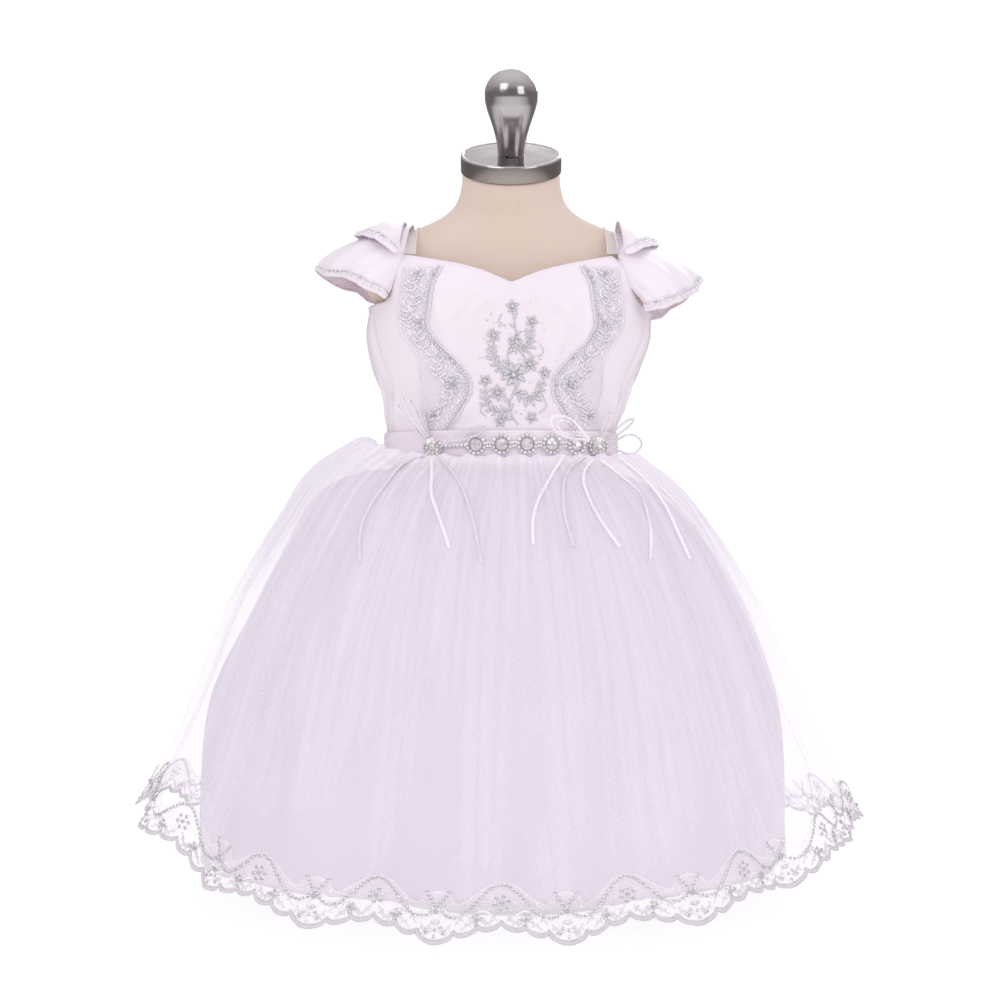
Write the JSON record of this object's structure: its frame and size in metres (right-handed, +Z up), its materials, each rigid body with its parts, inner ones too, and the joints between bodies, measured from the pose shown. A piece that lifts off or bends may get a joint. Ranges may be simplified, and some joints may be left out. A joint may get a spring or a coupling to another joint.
{
  "type": "christening gown on a dress form",
  "caption": "Short christening gown with satin bodice, flutter sleeves, jewelled sash and lace-edged tulle skirt on a limbless dress form.",
  "frame": {"origin": "middle of the stand's flat underside, on the surface it stands on", "axes": "+Z up; the front of the gown faces -Y; +X is to the right as seen from the front"},
  "size_m": [0.5731, 0.4599, 0.6424],
  "materials": {
    "linen": "plain linen cover over a firm padded core",
    "satin_chrome": "bright and brushed chrome-plated metal",
    "satin": "lilac-white bridal satin with a soft sheen",
    "sash_satin": "lilac-white satin band",
    "sheer": "sheer organza",
    "lace": "sheer ground with satin-stitched scallops, silver sequins and beads",
    "tulle": "soft fine tulle, see-through",
    "lining": "matt lilac-white lining cloth",
    "rhinestone": "clear stones in silver settings",
    "ribbon": "narrow white satin ribbon",
    "silver_cord": "flat woven silver-thread cord"
  },
  "bodies": {
    "root": {"form_torso": "linen", "form_neck_cap": "satin_chrome", "form_knob": "satin_chrome", "form_pole": "satin_chrome", "form_base": "satin_chrome", "bodice_front": "satin", "bodice_back_left": "satin", "bodice_back_right": "satin", "sleeve_lower_left": "satin", "sleeve_lower_right": "satin", "sleeve_upper_left": "satin", "sleeve_upper_right": "satin", "waist_sash": "sash_satin", "strap_left": "sheer", "strap_right": "sheer", "lace_panel_left": "lace", "lace_panel_right": "lace", "lace_border": "lace", "tulle_overlay_front": "tulle", "tulle_overlay_back": "tulle", "skirt_lining_front": "lining", "skirt_lining_back": "lining", "belt_chain": "rhinestone", "brooch_left": "rhinestone", "brooch_right": "rhinestone", "loop_satin_a": "ribbon", "loop_satin_b": "ribbon", "loop_satin_c": "ribbon", "loop_sheer_f": "ribbon", "loop_satin_g": "ribbon", "loop_satin_i": "ribbon", "tail_satin_b": "ribbon", "tail_satin_d": "ribbon", "tail_satin_f": "ribbon", "tail_satin_g": "ribbon", "tail_satin_h": "ribbon", "tail_satin_i": "ribbon", "loop_silver_d": "silver_cord", "loop_silver_e": "silver_cord", "loop_silver_h": "silver_cord", "tail_silver_a": "silver_cord", "tail_silver_c": "silver_cord", "tail_silver_e": "silver_cord"}
  },
  "joints": []
}
